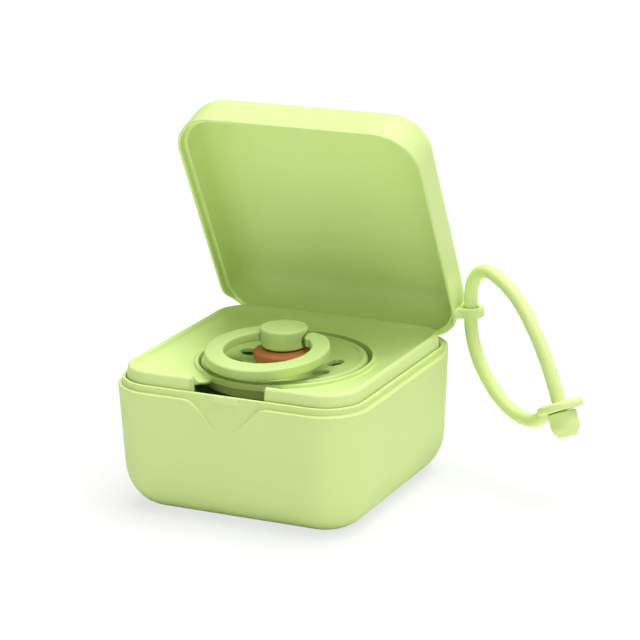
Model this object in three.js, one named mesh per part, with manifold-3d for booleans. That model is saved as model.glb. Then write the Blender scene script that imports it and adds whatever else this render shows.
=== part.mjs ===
// Pacifier case: a square box with rounded corners and a deep hinged lid, a loose tray with a round well, a round
// pacifier in the well, and a silicone strap through an ear on the lid. Millimetres, +Z up, +Y towards the hinge.
// The origin is the middle of the flat underside. The lid is modelled shut and then turned open about its hinge.

import * as THREE from 'three';
import { mergeVertices } from 'three/addons/utils/BufferGeometryUtils.js';
import Module from 'manifold-3d';

const wasm = await Module();
wasm.setup();

// Driving dimensions of the case
const caseWidth = 78;
const caseDepth = 78.2;
const cornerRadius = 13.2;
const footCornerRadius = 15.2;
const shoulderHeight = 36.45;
const bandHeight = 2;
const bandInset = 1.2;
const bandWall = 1.1;
const wallDraft = 1.15;
const wallThickness = 2.2;
const floorThickness = 2.2;
const footFilletRun = 10.2;
const footFilletRise = 12.8;

// Clearances: between parts that touch, between parts that turn, and the overrun of every cut
const fitGap = 0.3;
const runGap = 0.25;
const overrun = 2;

// Lid
const lidHeight = 15.9;
const lidDraft = 1.15;
const lidFillet = 8;
const lidWall = 2.3;
const lidTopWall = 2;
const lidOpenAngle = 64;
const skirtWall = 1;
const skirtEndLow = 29;
const skirtEndHigh = 33;

// Hinge: axis place, barrels and pin
const hingeInset = 0.8;
const hingeDrop = 0.45;
const barrelRadius = 2.2;
const pinRadius = 1;
const pinClearance = 0.2;
const pinEndWall = 1.5;
const baseBarrelLength = 8;
const lidBarrelLength = 10;

// Thumb scoop and latch bead at the front
const scoopHalfWidth = 13;
const scoopDepth = 8.2;
const scoopShoulderShare = 0.585;
const scoopToeShare = 0.477;
const latchHalfWidth = 4;
const latchHalfHeight = 1.1;
const latchRise = 0.45;
const latchSide = 0.5;

// Tray
const trayRimHeight = 3.5;
const trayRimLean = 0.3;
const trayRimWall = 2;
const trayRimRound = 0.8;
const trayDrop = 5.2;
const deckWall = 1.5;
const deckShares = [[0.12, 0.55], [0.3, 0.27], [0.6, 0.08], [1, 0]];
const wellRadius = 25;
const wellRingWidth = 1.1;
const wellRingRise = 0.2;
const wellRingFoot = 0.9;
const wellRingStep = 0.55;
const wellDepth = 3.45;
const wellRound = 2;
const wellRoundShare = 0.29;
const wellFloorWall = 1.5;
const wellHoleRadius = 14;
const slotHalfWidth = 10.4;
const slotFloorDrop = 2.6;
const ribWidth = 2;
const ribReach = 2.4;
const ribSpacing = 22;
const ribRoot = 1;

// Ear on the lid's right side
const earHoleReach = 2.9;
const earRadius = 3.9;
const earThickness = 3;
const earFlare = 0.9;
const earRoot = 2.2;
const earFromHinge = 9.4;
const earAboveHinge = 5.36;

// Strap
const strapDiameter = 4;
const strapHeading = -30;
const eyeletRadius = 6.75;
const eyeletThickness = 2.5;
const eyeletRound = 0.9;
const eyeletTilt = 25.5;
const buttonRadius = 4.2;
const buttonLength = 7.4;
const buttonDome = 3;
const buttonNeckRadius = 1.7;
const buttonRound = 0.6;
const domeShare = 0.55;
const eyeletNeckReach = 4.8;

// Route of the strap, outward from the ear and upward, from the button's end round to the eyelet's end
const strapRoute = [
  [40.8, -17.1], [38.6, -12.6], [34.1, -4.8], [28.2, 2.8], [24.6, 6.5], [20.0, 9.9], [13.7, 12.8], [8.2, 13.9],
  [4.0, 12.6], [1.0, 9.2], [0.0, 4.6], [0.0, 0.0], [0.0, -4.2], [1.0, -8.6], [2.9, -12.7], [5.6, -16.5],
  [9.5, -20.2], [14.0, -23.3], [20.6, -25.9], [27.2, -26.4], [31.4, -25.3], [34.0, -23.4],
];

// Pacifier
const shieldRadius = 24.3;
const shieldBead = 1.1;
const shieldWall = 2;
const shieldRise = 0.35;
const shieldBore = 7;
const ventRing = 14.6;
const ventLength = 6;
const ventWidth = 2.4;
const ventSpread = 20;
const ventTurn = -5;
const collarRadius = 9.1;
const collarFootRadius = 8.1;
const collarTopRadius = 6.4;
const collarHeight = 4.5;
const collarShoulder = 1.2;
const nippleLipRadius = 8.6;
const nippleLipWall = 1.3;
const nippleWaist = 5.2;
const nippleBulb = 8.6;
const nippleLength = 24.4;
const nippleWall = 1.3;
const plugRadius = 4;
const plugFlange = 5;
const plugWall = 1.2;
const knobRadius = 6.8;
const knobTaper = 0.5;
const knobHeight = 5.3;
const knobRound = 0.8;
const stemRadius = 2.4;
const stemLength = 6;

// Ring handle
const ringRadius = 15.6;
const ringWidth = 5;
const ringThickness = 2.8;
const ringRound = 0.6;
const ringTilt = 4.3;
const ringForward = 11;
const ringHeel = 1.5;
const pivotRise = 1.5;
const pocketRadius = 2.6;
const pocketDepth = 1.8;
const bossDepth = 4;

// Facet counts
const cornerSteps = 6;
const filletSteps = 5;
const roundSteps = 3;
const turnSteps = 36;
const smallTurnSteps = 20;
const nippleSteps = 24;
const strapSides = 10;
const strapSteps = 34;
const ringSteps = 40;
const sideSteps = 8;

// Places worked out from the sizes
const halfWidth = caseWidth / 2;
const halfDepth = caseDepth / 2;
const bandTop = shoulderHeight + bandHeight;
const lidTop = shoulderHeight + lidHeight;
const lidSeat = bandTop + fitGap;
const hingeY = halfDepth - hingeInset;
const hingeZ = shoulderHeight - hingeDrop;
const cavityInset = bandInset + bandWall;
const trayInset = cavityInset + fitGap;
const trayTop = bandTop + trayRimHeight;
const trayFoot = shoulderHeight - trayDrop + fitGap;
const wellTop = bandTop + wellRingRise;
const wellFloor = wellTop - wellDepth;
const deckRadius = wellRadius + wellRingWidth + wellRingFoot;
const deckLow = wellTop - wellRingStep;
const earX = halfWidth + earHoleReach;
const openTurn = THREE.MathUtils.degToRad(lidOpenAngle);

// Materials
const shellGreen = new THREE.MeshStandardMaterial({ color: 0xd0e49a, roughness: 0.62, metalness: 0 });
const trayGreen = new THREE.MeshStandardMaterial({ color: 0xd4e79d, roughness: 0.62, metalness: 0 });
const strapGreen = new THREE.MeshStandardMaterial({ color: 0xd8eaa0, roughness: 0.7, metalness: 0 });
const shieldGreen = new THREE.MeshStandardMaterial({ color: 0xc6da8f, roughness: 0.5, metalness: 0 });
const latexBrown = new THREE.MeshStandardMaterial({ color: 0xb06f45, roughness: 0.45, metalness: 0 });
const pinSteel = new THREE.MeshStandardMaterial({ color: 0xc0c2c4, roughness: 0.35, metalness: 1 });

// A closed mesh as a solid that can be joined and cut
function toSolid(geometry) {
  const bare = geometry.clone();
  bare.deleteAttribute('normal');
  bare.deleteAttribute('uv');
  const merged = mergeVertices(bare);
  const triangles = [];
  for (let i = 0; i < merged.index.count; i += 3) {
    const [a, b, c] = [0, 1, 2].map((k) => merged.index.getX(i + k));
    if (a !== b && b !== c && c !== a) triangles.push(a, b, c);
  }
  const vertProperties = new Float32Array(merged.attributes.position.array);
  return new wasm.Manifold(new wasm.Mesh({ numProp: 3, vertProperties, triVerts: new Uint32Array(triangles) }));
}

// A solid back as a mesh's geometry
function toGeometry(solid) {
  const data = solid.getMesh();
  const geometry = new THREE.BufferGeometry();
  geometry.setAttribute('position', new THREE.BufferAttribute(data.vertProperties, 3));
  geometry.setIndex(new THREE.BufferAttribute(data.triVerts, 1));
  geometry.computeVertexNormals();
  return geometry;
}

function named(name, solid, material) {
  const mesh = new THREE.Mesh(toGeometry(solid), material);
  mesh.name = name;
  return mesh;
}

// One level of a rounded rectangle, counterclockwise, its straight sides in the given number of steps
function level(inset, radius, z, steps = 1) {
  const [hx, hy] = [halfWidth - inset, halfDepth - inset];
  const points = [];
  const corners = [[1, -1], [1, 1], [-1, 1], [-1, -1]];
  corners.forEach(([sx, sy], quarter) => {
    const [cx, cy] = [sx * (hx - radius), sy * (hy - radius)];
    for (let k = 0; k <= cornerSteps; k += 1) {
      const turn = (Math.PI / 2) * (quarter - 1 + k / cornerSteps);
      points.push(new THREE.Vector3(cx + radius * Math.cos(turn), cy + radius * Math.sin(turn), z));
    }
    const [nx, ny] = corners[(quarter + 1) % corners.length];
    const start = points[points.length - 1];
    const turn = (Math.PI / 2) * quarter;
    const end = new THREE.Vector3(nx * (hx - radius) + radius * Math.cos(turn),
      ny * (hy - radius) + radius * Math.sin(turn), z);
    for (let k = 1; k < steps; k += 1) points.push(start.clone().lerp(end, k / steps));
  });
  return points;
}

// The same points drawn onto a circle, at the given radius and height
function circled(points, radius, z) {
  return points.map((p) => {
    const length = Math.hypot(p.x, p.y);
    return new THREE.Vector3((p.x / length) * radius, (p.y / length) * radius, z);
  });
}

// Levels joined into one closed skin, capped at both ends, or joined end to end as a hoop
function loft(levels, hoop = false) {
  const count = levels[0].length;
  const vertices = levels.flat();
  const faces = [];
  const last = hoop ? levels.length : levels.length - 1;
  for (let k = 0; k < last; k += 1) {
    for (let i = 0; i < count; i += 1) {
      const [a, b] = [k * count + i, k * count + ((i + 1) % count)];
      const [c, d] = [((k + 1) % levels.length) * count + ((i + 1) % count), ((k + 1) % levels.length) * count + i];
      faces.push(a, b, c, a, c, d);
    }
  }
  if (!hoop) {
    const top = (levels.length - 1) * count;
    for (let i = 1; i < count - 1; i += 1) faces.push(0, i + 1, i, top, top + i, top + i + 1);
  }
  const geometry = new THREE.BufferGeometry();
  geometry.setAttribute('position', new THREE.BufferAttribute(new Float32Array(vertices.flatMap((p) => p.toArray())), 3));
  geometry.setIndex(faces);
  return toSolid(geometry);
}

// Prisms of an outline: drawn in Y and Z and run along X, drawn in X and Z and run along Y, or run up Z
const alongX = new THREE.Matrix4().makeBasis(
  new THREE.Vector3(0, 1, 0), new THREE.Vector3(0, 0, 1), new THREE.Vector3(1, 0, 0));
const alongY = new THREE.Matrix4().makeBasis(
  new THREE.Vector3(1, 0, 0), new THREE.Vector3(0, 0, 1), new THREE.Vector3(0, -1, 0));

function prism(shape, depth, basis = new THREE.Matrix4(), curveSegments = smallTurnSteps) {
  const geometry = new THREE.ExtrudeGeometry(shape, { depth, bevelEnabled: false, curveSegments });
  return toSolid(geometry.applyMatrix4(basis));
}

function outline(points) {
  return new THREE.Shape(points.map(([u, v]) => new THREE.Vector2(u, v)));
}

function prismX(points, from, to) {
  return prism(outline(points), to - from, alongX).translate([from, 0, 0]);
}

function box(x0, x1, y0, y1, z0, z1) {
  return prismX([[y0, z0], [y1, z0], [y1, z1], [y0, z1]], x0, x1);
}

function rodX(radius, from, to, y, z, steps = smallTurnSteps) {
  const geometry = new THREE.CylinderGeometry(radius, radius, to - from, steps);
  geometry.rotateZ(-Math.PI / 2);
  return toSolid(geometry).translate([(from + to) / 2, y, z]);
}

function rodZ(radius, from, to, steps = turnSteps) {
  const geometry = new THREE.CylinderGeometry(radius, radius, to - from, steps);
  geometry.rotateX(Math.PI / 2);
  return toSolid(geometry).translate([0, 0, (from + to) / 2]);
}

// A profile of radius and height, turned about Z
function turned(path, steps = turnSteps, divisions = filletSteps) {
  const geometry = new THREE.LatheGeometry(path.getPoints(divisions), steps);
  geometry.rotateX(Math.PI / 2);
  return toSolid(geometry);
}

// Barrel places along the hinge: base and lid barrels by turns, the base's at both ends
const barrels = [];
const barrelOwners = ['base', 'lid', 'base', 'lid', 'base'];
const barrelLengths = { base: baseBarrelLength, lid: lidBarrelLength };
const barrelTotal = barrelOwners.reduce((sum, owner) => sum + barrelLengths[owner], 0);
const hingeLength = barrelTotal + (barrelOwners.length - 1) * fitGap;
let barrelFrom = -hingeLength / 2;
for (const owner of barrelOwners) {
  const to = barrelFrom + barrelLengths[owner];
  barrels.push({ owner, from: barrelFrom, to });
  barrelFrom = to + fitGap;
}
const pinHalfLength = hingeLength / 2 - pinEndWall;

// How far the walls lie inside the case's outline at a height, and the corner radius there
const draftAt = (z) => (wallDraft * (shoulderHeight - Math.min(z, shoulderHeight))) / shoulderHeight;
const lidDraftAt = (z) => (lidDraft * Math.max(z - shoulderHeight, 0)) / lidHeight;
const planRadius = (z) => footCornerRadius + (cornerRadius - footCornerRadius) * Math.min(z / shoulderHeight, 1);

// Where the lid's skirt ends towards the hinge: a slope that leans back as it rises
const skirtEndAt = (z) => skirtEndLow + ((skirtEndHigh - skirtEndLow) * (z - shoulderHeight)) / bandHeight;

// A slab across the case between two heights, ahead of the skirt's sloping end or behind it
function slopedSlab(from, to, ahead, clearance = 0) {
  const far = ahead ? -caseDepth : caseDepth;
  const [low, high] = [skirtEndAt(from) + clearance, skirtEndAt(to) + clearance];
  return prismX([[far, from], [low, from], [high, to], [far, to]], -caseWidth, caseWidth);
}

// Base: the tub, its band, thumb scoop, latch bead, rear barrels and the ribs that carry the tray
function tubLevels(depth, foot, top) {
  const levels = [];
  for (let k = 0; k <= filletSteps; k += 1) {
    const turn = (Math.PI / 2) * (1 - k / filletSteps);
    const z = foot + (footFilletRise - foot) * (1 - Math.sin(turn));
    const inset = draftAt(footFilletRise) + depth + (footFilletRun - depth) * (1 - Math.cos(turn));
    levels.push(level(inset, planRadius(z) - inset, z));
  }
  levels.push(level(depth, cornerRadius - depth, top));
  return levels;
}

function bandCutter() {
  const ahead = slopedSlab(shoulderHeight, bandTop + overrun, true, fitGap);
  const heights = [shoulderHeight - overrun, bandTop + overrun + overrun];
  return ahead.subtract(loft(heights.map((z) => level(bandInset, cornerRadius - bandInset, z))));
}

function scoopCutter() {
  const foot = shoulderHeight - scoopDepth;
  const [shoulder, toe] = [scoopHalfWidth * scoopShoulderShare, scoopHalfWidth * scoopToeShare];
  const bell = new THREE.Shape();
  bell.moveTo(scoopHalfWidth, bandTop);
  bell.lineTo(-scoopHalfWidth, bandTop);
  bell.lineTo(-scoopHalfWidth, shoulderHeight);
  bell.bezierCurveTo(-shoulder, shoulderHeight, -toe, foot, 0, foot);
  bell.bezierCurveTo(toe, foot, shoulder, shoulderHeight, scoopHalfWidth, shoulderHeight);
  const column = prism(bell, caseDepth, alongY, sideSteps);
  const front = -halfDepth;
  const wedge = prismX([
    [front - overrun, foot], [front + draftAt(foot), foot], [front + bandInset, shoulderHeight],
    [front + bandInset, bandTop], [front - overrun, bandTop],
  ], -caseWidth, caseWidth);
  return column.intersect(wedge);
}

function latchBead() {
  const bead = new THREE.SphereGeometry(1, smallTurnSteps, sideSteps);
  bead.scale(latchHalfWidth, latchRise, latchHalfHeight);
  return toSolid(bead).translate([0, bandInset - halfDepth, bandTop - latchHalfHeight]);
}

function baseBarrel(from, to) {
  const tangent = barrelRadius * Math.SQRT1_2;
  const run = tangent - hingeInset + draftAt(hingeZ);
  const heel = [
    [hingeY, hingeZ], [hingeY, hingeZ - tangent - run - tangent],
    [hingeY + tangent - run, hingeZ - tangent - run], [hingeY + tangent, hingeZ - tangent],
  ];
  return rodX(barrelRadius, from, to, hingeY, hingeZ).add(prismX(heel, from, to));
}

// Room in the rear wall for a lid barrel and the arm that carries it
function barrelRoom(from, to) {
  const reach = barrelRadius + fitGap;
  const above = box(from, to, hingeY - reach, halfDepth + overrun, hingeZ, bandTop + overrun);
  return rodX(reach, from, to, hingeY, hingeZ).add(above);
}

// Two upright ribs inside each wall, their level tops under the tray's rim
function trayRibs() {
  const ribs = [];
  for (const quarter of [0, 1, 2, 3]) {
    const wall = (quarter % 2 ? halfWidth : halfDepth) - wallThickness - draftAt(footFilletRise);
    for (const side of [-1, 1]) {
      const from = (side * ribSpacing) / 2 - ribWidth / 2;
      const rib = prismX([
        [-wall - ribRoot, footFilletRise - ribReach], [-wall, footFilletRise - ribReach],
        [-wall + ribReach, footFilletRise], [-wall + ribReach, trayFoot - fitGap],
        [-wall - ribRoot, trayFoot - fitGap],
      ], from, from + ribWidth);
      ribs.push(rib.rotate([0, 0, (quarter * 360) / 4]));
    }
  }
  return ribs;
}

function baseShell() {
  const outer = [...tubLevels(0, 0, shoulderHeight), level(0, cornerRadius, bandTop)];
  const inner = tubLevels(wallThickness, floorThickness, shoulderHeight - bandHeight);
  inner.push(level(cavityInset, cornerRadius - cavityInset, bandTop));
  let solid = loft([...outer, ...inner.reverse()]);
  solid = solid.subtract(bandCutter()).subtract(scoopCutter()).add(latchBead());
  for (const { owner, from, to } of barrels) {
    if (owner === 'base') solid = solid.add(baseBarrel(from, to));
    else solid = solid.subtract(barrelRoom(from - fitGap, to + fitGap));
  }
  for (const rib of trayRibs()) solid = solid.add(rib);
  return solid.subtract(rodX(pinRadius + pinClearance, -pinHalfLength, pinHalfLength, hingeY, hingeZ));
}

// Lid, drawn shut: a pillow-topped shell with a stepped rim, barrels, room for the latch bead and the strap's ear.
// The outer half of the rim is a skirt that laps the base's band and is cut away towards the hinge.
function pillowLevels(depth, top, fillet) {
  const levels = [];
  const foot = top - fillet;
  for (let k = 0; k <= filletSteps; k += 1) {
    const turn = (Math.PI / 2) * (k / filletSteps);
    const inset = depth + lidDraftAt(foot) + fillet * (1 - Math.cos(turn));
    levels.push(level(inset, cornerRadius - inset, foot + fillet * Math.sin(turn)));
  }
  return levels;
}

function lidBarrel(from, to) {
  const arm = prismX([
    [hingeY - barrelRadius * Math.SQRT1_2, hingeZ], [halfDepth, hingeZ],
    [halfDepth, lidSeat + lidWall], [halfDepth - lidWall, lidSeat + lidWall],
  ], from, to);
  return rodX(barrelRadius, from, to, hingeY, hingeZ).add(arm);
}

function strapEar() {
  const shape = new THREE.Shape();
  const root = -earHoleReach - earRoot;
  const flare = earRadius + earFlare;
  shape.moveTo(root, -flare);
  shape.lineTo(-earHoleReach, -flare);
  shape.quadraticCurveTo(-earHoleReach + earFlare, -earRadius, 0, -earRadius);
  shape.absarc(0, 0, earRadius, -Math.PI / 2, Math.PI / 2, false);
  shape.quadraticCurveTo(-earHoleReach + earFlare, earRadius, -earHoleReach, flare);
  shape.lineTo(root, flare);
  shape.holes.push(new THREE.Path().absarc(0, 0, strapDiameter / 2 + fitGap, 0, Math.PI * 2, true));
  const plate = prism(shape, earThickness).translate([0, 0, -earThickness / 2]);
  const ear = plate.rotate([lidOpenAngle, 0, 0]).translate([earX, hingeY - earFromHinge, hingeZ + earAboveHinge]);
  const foot = shoulderHeight + fitGap;
  const besideBase = [foot - lidHeight, foot].map((z) => level(-fitGap, cornerRadius + fitGap, z));
  const insideSkirt = [foot - lidHeight, lidSeat].map((z) => level(skirtWall, cornerRadius - skirtWall, z));
  return ear.subtract(loft(besideBase)).subtract(loft(insideSkirt));
}

function lidShell() {
  const foot = shoulderHeight + fitGap;
  const seatStep = [lidWall, skirtWall].map((inset) => level(inset, cornerRadius - inset, lidSeat));
  const skirtFoot = [skirtWall, 0].map((inset) => level(inset, cornerRadius - inset, foot));
  const inside = pillowLevels(lidWall, lidTop - lidTopWall, lidFillet - lidTopWall).reverse();
  let solid = loft([...inside, ...seatStep, ...skirtFoot, ...pillowLevels(0, lidTop, lidFillet)]);
  solid = solid.subtract(slopedSlab(foot - overrun, lidSeat, false));
  for (const { owner, from, to } of barrels) {
    if (owner === 'lid') solid = solid.add(lidBarrel(from, to));
  }
  const latchRoom = box(-latchHalfWidth - latchSide, latchHalfWidth + latchSide, latchSide - halfDepth,
    lidWall - halfDepth, foot - overrun, lidSeat);
  const bore = rodX(pinRadius + pinClearance, -hingeLength, hingeLength, hingeY, hingeZ);
  return solid.subtract(latchRoom).subtract(bore).add(strapEar());
}

// Tray: a raised rim, a dished deck that runs from square to round, the well for the shield and the finger slot
function trayInsert() {
  const at = (inset, z) => level(inset, cornerRadius - inset, z, sideSteps);
  const lean = trayInset + trayRimLean;
  const rimInner = lean + trayRimWall;
  const lip = trayTop - trayRimRound;
  const round = (inset, side) => {
    const levels = [];
    for (let k = 0; k <= roundSteps; k += 1) {
      const turn = (Math.PI / 2) * (side > 0 ? k / roundSteps : 1 - k / roundSteps);
      levels.push(at(inset + side * trayRimRound * (1 - Math.cos(turn)), lip + trayRimRound * Math.sin(turn)));
    }
    return levels;
  };
  const rim = at(rimInner, lip);
  const deckAt = (share, heightShare, drop) => {
    const z = deckLow + (lip - deckLow) * heightShare - drop;
    const ring = circled(rim, deckRadius, z);
    return rim.map((p, i) => new THREE.Vector3().lerpVectors(p, ring[i], share).setZ(z));
  };
  const top = deckShares.map(([share, heightShare]) => deckAt(share, heightShare, 0));
  const under = deckShares.map(([share, heightShare]) => deckAt(share, heightShare, deckWall)).reverse();
  const circle = (radius, z) => circled(rim, radius, z);
  const wellUnder = wellFloor - wellFloorWall;
  const well = [
    circle(wellRadius + wellRingWidth, wellTop), circle(wellRadius, wellTop),
    circle(wellRadius, wellFloor + wellRound), circle(wellRadius - wellRound * wellRoundShare,
      wellFloor + wellRound * wellRoundShare), circle(wellRadius - wellRound, wellFloor),
    circle(wellHoleRadius, wellFloor), circle(wellHoleRadius, wellUnder),
    circle(wellRadius - wellRound, wellUnder), circle(wellRadius + wellRingWidth, deckLow - deckWall),
  ];
  const solid = loft([
    at(trayInset, trayFoot), at(trayInset, bandTop), ...round(lean, 1), ...round(rimInner, -1),
    ...top, ...well, ...under, at(rimInner, deckLow - deckWall), at(rimInner, trayFoot),
  ], true);
  const slotFloor = bandTop - slotFloorDrop;
  const slot = box(-slotHalfWidth, slotHalfWidth, -caseDepth, 0, slotFloor, trayTop + overrun)
    .subtract(rodZ(wellRadius + wellRingWidth, slotFloor - overrun, trayTop + overrun + overrun));
  const hingeRoom = rodX(barrelRadius + fitGap, -hingeLength / 2 - fitGap, hingeLength / 2 + fitGap, hingeY, hingeZ);
  return solid.subtract(slot).subtract(hingeRoom);
}

// Pacifier, standing in the well with its nipple down
const shieldEdgeMid = wellFloor + fitGap + shieldBead;
const shieldTop = shieldEdgeMid + shieldBead + shieldRise;
const collarFoot = shieldTop + fitGap;
const collarTop = collarFoot + collarHeight;
const knobFoot = collarTop + fitGap;
const knobTop = knobFoot + knobHeight;
const lipTop = shieldTop - shieldWall - fitGap;
const lipFoot = lipTop - nippleLipWall;
const ringEndX = knobRadius + fitGap;
const pivotZ = knobFoot + pivotRise;
const pivotToCentre = Math.sqrt(ringRadius ** 2 - ringEndX ** 2);
const pivotY = pivotToCentre - ringForward;

function pacifierShield() {
  const bead = shieldRadius - shieldBead;
  const path = new THREE.Path();
  path.moveTo(shieldBore, shieldTop - shieldWall);
  path.lineTo(bead - shieldBead, shieldEdgeMid + shieldBead - shieldWall);
  path.lineTo(bead, shieldEdgeMid - shieldBead);
  path.absarc(bead, shieldEdgeMid, shieldBead, -Math.PI / 2, Math.PI / 2, false);
  path.quadraticCurveTo((shieldBore + bead) / 2, shieldTop, shieldBore, shieldTop);
  path.lineTo(shieldBore, shieldTop - shieldWall);
  let solid = turned(path);
  const vent = new THREE.Shape();
  const straight = (ventLength - ventWidth) / 2;
  vent.absarc(0, straight, ventWidth / 2, 0, Math.PI, false);
  vent.absarc(0, -straight, ventWidth / 2, Math.PI, Math.PI * 2, false);
  const cutter = prism(vent, shieldRise + shieldWall + overrun, new THREE.Matrix4(), filletSteps)
    .translate([ventRing, 0, shieldTop - shieldWall - overrun / 2 - shieldRise]);
  for (const side of [-1, 1]) {
    const right = cutter.rotate([0, 0, ventTurn + side * ventSpread]);
    solid = solid.subtract(right).subtract(right.mirror([1, 0, 0]));
  }
  return solid;
}

// Nipple: one hollow moulding from the collar over the shield down to the round teat
function pacifierNipple() {
  const bulbMid = lipFoot - nippleLength + nippleBulb;
  const neck = shieldBore - fitGap;
  const bore = plugRadius + fitGap;
  const seat = lipTop + fitGap;
  const inner = nippleBulb - nippleWall;
  const middle = (bulbMid + lipFoot) / 2;
  const path = new THREE.Path();
  path.absarc(0, bulbMid, nippleBulb, -Math.PI / 2, Math.PI / 4, false);
  path.quadraticCurveTo(nippleWaist, middle, neck, lipFoot);
  path.lineTo(nippleLipRadius, lipFoot);
  path.lineTo(nippleLipRadius, lipTop);
  path.lineTo(neck, lipTop);
  path.lineTo(neck, collarFoot);
  path.lineTo(collarFootRadius, collarFoot);
  path.lineTo(collarRadius, collarTop - collarShoulder);
  path.lineTo(collarTopRadius, collarTop);
  path.lineTo(bore, collarTop);
  path.lineTo(bore, seat);
  path.lineTo(plugFlange + fitGap, seat);
  path.lineTo(plugFlange + fitGap, lipFoot);
  path.quadraticCurveTo(nippleWaist - nippleWall, middle, inner * Math.SQRT1_2, bulbMid + inner * Math.SQRT1_2);
  path.absarc(0, bulbMid, inner, Math.PI / 4, -Math.PI / 2, true);
  return turned(path, nippleSteps);
}

// Inner plug: a flanged cup that clamps the nipple's collar from inside and takes the knob's stem
function nipplePlug() {
  const foot = lipTop - plugWall;
  const bore = stemRadius + pinClearance;
  const path = new THREE.Path();
  path.moveTo(0, foot);
  path.lineTo(plugFlange, foot);
  path.lineTo(plugFlange, lipTop);
  path.lineTo(plugRadius, lipTop);
  path.lineTo(plugRadius, collarTop);
  path.lineTo(bore, collarTop);
  path.lineTo(bore, lipTop);
  path.lineTo(0, lipTop);
  return turned(path, nippleSteps);
}

function pacifierKnob() {
  const stemFoot = knobFoot - stemLength;
  const path = new THREE.Path();
  path.moveTo(0, stemFoot);
  path.lineTo(stemRadius, stemFoot);
  path.lineTo(stemRadius, knobFoot);
  path.lineTo(knobRadius - knobTaper, knobFoot);
  path.lineTo(knobRadius, knobTop - knobRound);
  path.quadraticCurveTo(knobRadius, knobTop, knobRadius - knobRound, knobTop);
  path.lineTo(0, knobTop);
  const pocket = rodX(pocketRadius, knobRadius - pocketDepth, knobRadius + overrun, pivotY, pivotZ);
  const socket = rodX(ringThickness / 2 + runGap, ringEndX - bossDepth - fitGap, knobRadius, pivotY, pivotZ);
  const room = pocket.add(socket);
  return turned(path, turnSteps, roundSteps).subtract(room).subtract(room.mirror([1, 0, 0]));
}

// Ring handle: a flat bar bent to an open ring, with a round boss at each end that turns in the knob.
// It is drawn about its pivot with the ring lying level.
function pacifierRing() {
  const [outside, inside] = [ringRadius + ringWidth / 2, ringRadius - ringWidth / 2];
  const half = ringThickness / 2;
  const section = new THREE.Path();
  section.absarc(outside - ringRound, -half + ringRound, ringRound, -Math.PI / 2, 0, false);
  section.absarc(outside - ringRound, half - ringRound, ringRound, 0, Math.PI / 2, false);
  section.absarc(inside + ringRound, half - ringRound, ringRound, Math.PI / 2, Math.PI, false);
  section.absarc(inside + ringRound, -half + ringRound, ringRound, Math.PI, Math.PI * 1.5, false);
  section.closePath();
  const hoop = turned(section, ringSteps, 1).translate([0, -pivotToCentre, 0]);
  const gap = box(-ringEndX, ringEndX, -ringWidth, outside, -ringThickness, ringThickness);
  const reach = collarRadius + fitGap + runGap;
  const heel = box(-reach, reach, ringHeel, outside, -ringThickness, ringThickness);
  const boss = rodX(half, ringEndX - bossDepth, ringEndX + half, 0, 0);
  return hoop.subtract(gap).subtract(heel).add(boss).add(boss.mirror([1, 0, 0]));
}

// Strap: a silicone cord through the ear, with a button at one end pushed through the eyelet at the other.
// It is drawn about the ear's hole, outward along X and upward along Z.
const strapTilt = THREE.MathUtils.degToRad(eyeletTilt);
const buttonAxis = new THREE.Vector3(Math.sin(strapTilt), 0, -Math.cos(strapTilt));
const strapPoints = strapRoute.map(([out, up]) => new THREE.Vector3(out, 0, up));
const eyeletTop = strapPoints[0].clone().addScaledVector(buttonAxis, fitGap);

function strapLoop() {
  const section = new THREE.Shape().absarc(0, 0, strapDiameter / 2, 0, Math.PI * 2, false);
  const extrudePath = new THREE.CatmullRomCurve3(strapPoints);
  return toSolid(new THREE.ExtrudeGeometry(section, { extrudePath, steps: strapSteps, curveSegments: strapSides / 2 }));
}

// The eyelet and the button stand on the line of the cord's upper end: drawn along Z, then tilted onto it
function ontoStrap(solid) {
  return solid.rotate([0, -eyeletTilt, 0]).translate(eyeletTop.toArray());
}

function strapEyelet() {
  const hole = buttonNeckRadius + fitGap;
  const edge = eyeletRadius - eyeletRound;
  const path = new THREE.Path();
  path.moveTo(hole, -eyeletThickness);
  path.lineTo(edge, -eyeletThickness);
  path.quadraticCurveTo(eyeletRadius, -eyeletThickness, eyeletRadius, -eyeletThickness + eyeletRound);
  path.quadraticCurveTo(eyeletRadius, 0, edge, 0);
  path.lineTo(hole, 0);
  path.lineTo(hole, -eyeletThickness);
  const disc = ontoStrap(turned(path, nippleSteps, roundSteps));
  const middle = eyeletTop.clone().addScaledVector(buttonAxis, eyeletThickness / 2);
  const end = strapPoints[strapPoints.length - 1];
  const toDisc = middle.clone().sub(end);
  const run = toDisc.length() - eyeletNeckReach - fitGap;
  const lift = THREE.MathUtils.radToDeg(Math.atan2(toDisc.z, toDisc.x));
  const neck = rodX(strapDiameter / 2, fitGap, fitGap + run, 0, 0, strapSides * 2);
  return disc.add(neck.rotate([0, -lift, 0]).translate(end.toArray()));
}

function strapButton() {
  const head = -eyeletThickness - fitGap;
  const tip = head - buttonLength;
  const path = new THREE.Path();
  path.moveTo(0, tip);
  path.bezierCurveTo(buttonRadius * domeShare, tip, buttonRadius, tip + buttonDome * (1 - domeShare),
    buttonRadius, tip + buttonDome);
  path.lineTo(buttonRadius, head - buttonRound);
  path.quadraticCurveTo(buttonRadius, head, buttonRadius - buttonRound, head);
  path.lineTo(buttonNeckRadius, head);
  path.lineTo(buttonNeckRadius, 0);
  path.lineTo(0, 0);
  return ontoStrap(turned(path, nippleSteps, filletSteps));
}

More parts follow.
